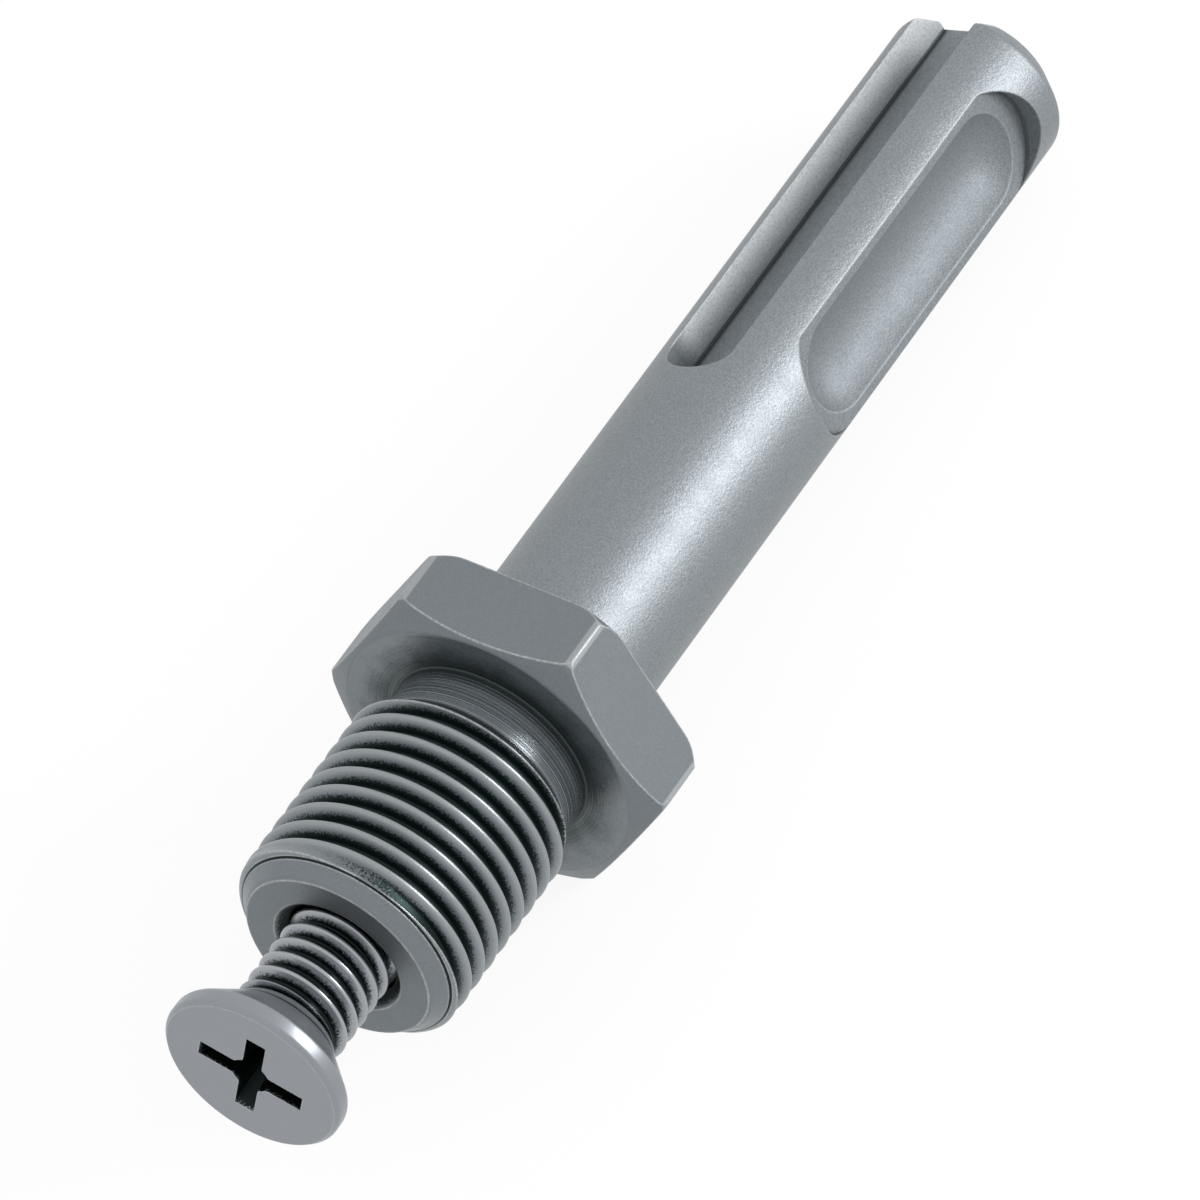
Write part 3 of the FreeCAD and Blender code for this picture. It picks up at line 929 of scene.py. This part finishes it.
def steel(name, finish):
    """Plated steel with its dirt, its painted shade, its wear and the painted light on its drive
    grooves' walls, as the finish describes it.
    """
    material = bpy.data.materials.new(name)
    material.use_nodes = True
    at = survey(material, finish)
    mark_zones(material, finish, at)
    corner = finish["corner"]
    rubbed_tips = add_node(
        material, "ShaderNodeMapRange", Value=at.radius, From_Min=corner,
        From_Max=corner + 0.04, To_Max=0.3,
    )
    wear = [
        rubbed_edges(material, finish, at), rubbed_tips, rubbed_crests(material, finish, at)
    ]
    # painted shade and dirt: darker where the surface is closed in
    crease_shade_mask = inside_bands(material, [(at.openness, 0.75, 0.45)], finish["crease_soil"])
    dirt_and_shade = [
        thread_root_shade(material, finish, at), pit_shade(material, finish, at), crease_shade_mask,
        neck_shade(material, finish, at),
    ]
    surface = material.node_tree.nodes["Principled BSDF"]
    surface.inputs["Metallic"].default_value = finish["metallic"]
    if finish["grooved"]:
        lit_walls = rubbed_lit_walls(material, at)
        # the walls' painted light joins the wear and takes the worn colour
        wear.append(lit_walls)
        dirt_and_shade.append(groove_crease_shade(material, finish, at))
        # the rubbed walls are duller than the plating
        duller = add_node(
            material, "ShaderNodeMath", {"operation": "MULTIPLY_ADD"},
            _0=lit_walls, _1=-0.5, _2=finish["metallic"],
        )
        material.node_tree.links.new(duller.outputs[0], surface.inputs["Metallic"])
    colour = plating_colour(material, finish, at)
    for layers, shade in ((wear, finish["worn"]), (dirt_and_shade, finish["residue"])):
        mask = layers[0]
        for layer in layers[1:]:
            mask = add_node(
                material, "ShaderNodeMath", {"operation": "MAXIMUM"}, _0=mask, _1=layer
            )
        mixed = add_node(
            material, "ShaderNodeMix", {"data_type": "RGBA"}, _0=mask, _6=colour,
            _7=linear(shade),
        )
        colour = mixed.outputs[2]
    material.node_tree.links.new(colour, surface.inputs["Base Color"])
    rough = gloss(material, finish, at)
    material.node_tree.links.new(rough, surface.inputs["Roughness"])
    material.node_tree.links.new(relief(material, finish, at), surface.inputs["Normal"])
    return material


# Plated steel, satin. The shank was bead blasted before plating, so it is speckled and spreads
# its highlight. The collar and the neck keep the skin of milling and turning and are evener.
adapter_steel = steel("blasted_plated_steel", {
    # the residue colour also paints shade into the roots, the creases, the bore and the dish
    "light": "#8f9498", "dark": "#6c7377", "worn": "#d4d6d8", "residue": "#1b2827",
    "roughness": 0.45, "metallic": 0.85,
    # depths of the grain and of the blasting's dents
    "grain_depth": 0.016, "dent_depth": 0.018,
    # how wide and how strongly edges are rubbed, and the radius where the collar's tips are
    "edge": 0.16, "wear": 0.8, "corner": 9.53,
    # radius inside which the shank was milled, and height up to which it was blasted
    "milled": SHANK_RADIUS - 0.1, "blast_to": COLLAR_BACK - 0.1,
    # lowest, highest and outermost mark of the turning tool
    "turned": (-DISH_DEPTH - 0.1, 2.1, FRONT_RIM - 0.1),
    # radius of the crests, radius plus height of the bevelled end, and the thread's ends
    "crest": STUD_RADIUS, "bevel_sum": STUD_RADIUS - STUD_END_BEVEL + STUD_FACE,
    "thread": (2.5, STUD_FACE - 0.05),
    # depths where the thread's painted shade and dirt start and are full, and how dark the painted
    # shade and dirt in creases are
    "soil_depth": (0.25, 0.5), "crease_soil": 0.8,
    # lowest, highest and outermost painted shade in the bore
    "pit": (5.0, STUD_FACE - 0.12, BORE_RADIUS + 0.6),
    "grooved": True,
})
# Plated steel with a rolled thread and a punched recess, smoother and glossier than the
# adapter. It wasn't blasted or milled and has no turned neck, so those zones lie off it.
screw_steel = steel("plated_screw_steel", {
    # the residue colour also paints shade into the roots, the creases and the recess
    "light": "#959a9f", "dark": "#8c9095", "worn": "#d4d6d8", "residue": "#131b1b",
    "roughness": 0.34, "metallic": 0.85,
    "grain_depth": 0.004, "dent_depth": 0.0,
    "edge": 0.08, "wear": 0.5, "corner": OFF,
    "milled": -OFF, "blast_to": -OFF, "turned": (-OFF - 1.0, -OFF, -OFF),
    "crest": SCREW_RADIUS, "bevel_sum": OFF, "thread": (SCREW_POINT, THREAD_END),
    "soil_depth": (0.18, 0.42), "crease_soil": 0.9,
    "pit": RECESS_SHADE,
    "grooved": False,
})

finish_piece("chuck_adapter", adapter(), "adapter", "adapter_body", adapter_steel)
finish_piece("cross_recess_screw", screw(), "screw", "retaining_screw", screw_steel)

# the camera's place and angles, fitted to the outline in the photograph
THETA = math.radians(57.65)
PHI = math.radians(53.72)
RHO = math.radians(25.65)
CAMERA_TO_SEAT = Vector((-5.591, 7.566, 580.0))
FOCAL_PIXELS = 11670.0
FRAME_PIXELS = 1200.0
SENSOR_WIDTH = 36.0
# one soft box, in metres and watts
KEY_DIRECTION = Vector((0.558, -0.672, 0.486))
KEY_DISTANCE = 0.6
KEY_SIZE = 0.26
KEY_WATTS = 2.0
# the table top, in metres, and how white the camera sees it
TABLE_HALF = 3.0
TABLE_GLOW = 0.9


def camera_axes():
    """The camera's right, down and forward directions in the part's frame."""
    toward_shank = -Vector(MOUNTS["stud"]["axis"])
    up_flat = Vector(MOUNTS["spanner_flat_up"]["axis"])
    side = Vector(MOUNTS["stud"]["axis"]).cross(up_flat)
    near = math.cos(RHO) * up_flat - math.sin(RHO) * side
    across = -math.sin(RHO) * up_flat - math.cos(RHO) * side
    right = (
        math.sin(THETA) * math.cos(PHI) * toward_shank
        + math.sin(PHI) * across
        + math.cos(THETA) * math.cos(PHI) * near
    )
    down = (
        -math.sin(THETA) * math.sin(PHI) * toward_shank
        + math.cos(PHI) * across
        - math.cos(THETA) * math.sin(PHI) * near
    )
    forward = math.cos(THETA) * toward_shank - math.sin(THETA) * near
    return right, down, forward


def place_camera():
    """A long lens, as the photograph's perspective asks for."""
    right, down, forward = camera_axes()
    seat = Vector(MOUNTS["stud"]["pos_m"])
    offset = CAMERA_TO_SEAT * MILLIMETRE
    place = seat - right * offset.x - down * offset.y - forward * offset.z
    lens = bpy.data.cameras.new("camera")
    lens.sensor_width = SENSOR_WIDTH
    lens.lens = FOCAL_PIXELS * lens.sensor_width / FRAME_PIXELS
    lens.clip_start = 0.01
    lens.clip_end = 10.0
    camera = bpy.data.objects.new("camera", lens)
    camera.matrix_world = Matrix.Translation(place) @ Matrix(
        (right, -down, -forward)
    ).transposed().to_4x4()
    bpy.context.scene.collection.objects.link(camera)
    bpy.context.scene.camera = camera


def place_floor():
    """A wide white table top."""
    mesh = bmesh.new()
    bmesh.ops.create_grid(mesh, x_segments=1, y_segments=1, size=TABLE_HALF)
    floor = as_object("floor", mesh)
    material = bpy.data.materials.new("white_table")
    material.use_nodes = True
    nodes = material.node_tree.nodes
    nodes.clear()
    paint = add_node(material, "ShaderNodeBsdfDiffuse", Color=linear("#f2f2f2"))
    glow = add_node(material, "ShaderNodeEmission", Color=linear("#ffffff"), Strength=1.0)
    path = add_node(material, "ShaderNodeLightPath")
    seen = add_node(
        material, "ShaderNodeMath", {"operation": "MAXIMUM"},
        _0=path.outputs["Is Camera Ray"], _1=path.outputs["Is Glossy Ray"],
    )
    share = add_node(
        material, "ShaderNodeMath", {"operation": "MULTIPLY"}, _0=seen, _1=TABLE_GLOW
    )
    mixed = add_node(material, "ShaderNodeMixShader", _0=share, _1=paint, _2=glow)
    add_node(material, "ShaderNodeOutputMaterial", Surface=mixed)
    floor.data.materials.append(material)


def place_light(name, direction, distance, size, watts):
    """A round soft box that faces the part."""
    light = bpy.data.lights.new(name, "AREA")
    light.shape = "DISK"
    light.size = size
    light.energy = watts
    lamp = bpy.data.objects.new(name, light)
    lamp.location = direction.normalized() * distance
    lamp.rotation_mode = "QUATERNION"
    lamp.rotation_quaternion = direction.to_track_quat("Z", "Y")
    bpy.context.scene.collection.objects.link(lamp)


def place_world():
    """A white studio all round."""
    world = bpy.data.worlds.new("studio")
    bpy.context.scene.world = world
    world.use_nodes = True
    surround = world.node_tree.nodes["Background"]
    surround.inputs["Color"].default_value = linear("#ffffff")
    surround.inputs["Strength"].default_value = 1.0


place_camera()
place_floor()
place_world()
place_light("key", KEY_DIRECTION, KEY_DISTANCE, KEY_SIZE, KEY_WATTS)

scene = bpy.context.scene
scene.view_settings.view_transform = "Standard"
